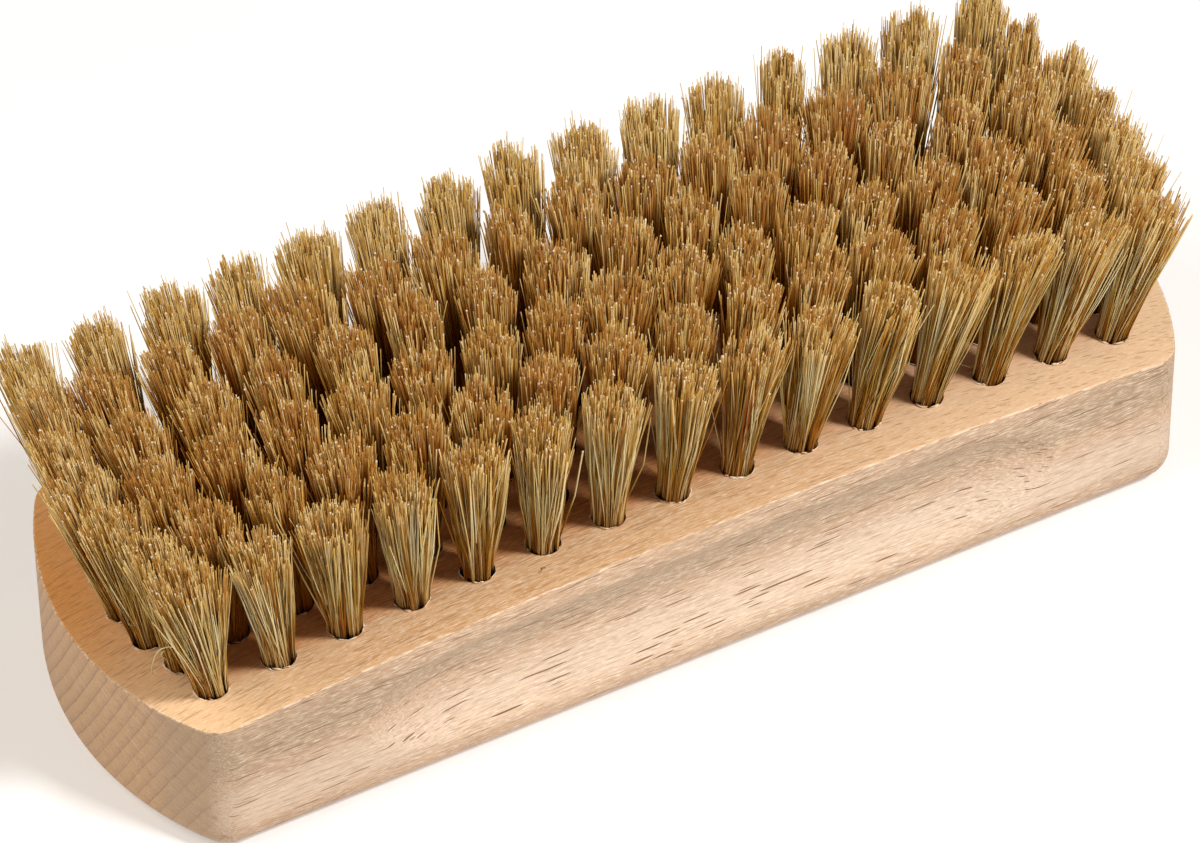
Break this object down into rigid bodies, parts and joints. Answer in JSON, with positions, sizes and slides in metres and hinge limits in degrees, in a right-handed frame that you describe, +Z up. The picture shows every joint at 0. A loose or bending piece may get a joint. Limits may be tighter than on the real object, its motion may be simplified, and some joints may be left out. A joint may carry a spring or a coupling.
{
  "type": "shoe shine brush",
  "caption": "Oblong wooden hand brush with rounded ends, a bowed bristle face, leaning round tufts of natural bristle and a finger groove in each long side.",
  "frame": {"origin": "middle of the flat back, on the surface that the brush lies on", "axes": "+X along the length, +Y across the width, +Z up out of the bristle face, the way the tufts point"},
  "size_m": [0.15, 0.0509, 0.0491],
  "materials": {
    "beech": "bare sanded beech, short dark pore flecks",
    "bristle": "golden straw natural bristle, pale cut tips"
  },
  "bodies": {
    "root": {"block": "beech", "tuft_row_1": "bristle", "tuft_row_2": "bristle", "tuft_row_3": "bristle", "tuft_row_4": "bristle", "tuft_row_5": "bristle", "tuft_row_6": "bristle", "tuft_end_left": "bristle", "tuft_end_right": "bristle"}
  },
  "joints": []
}
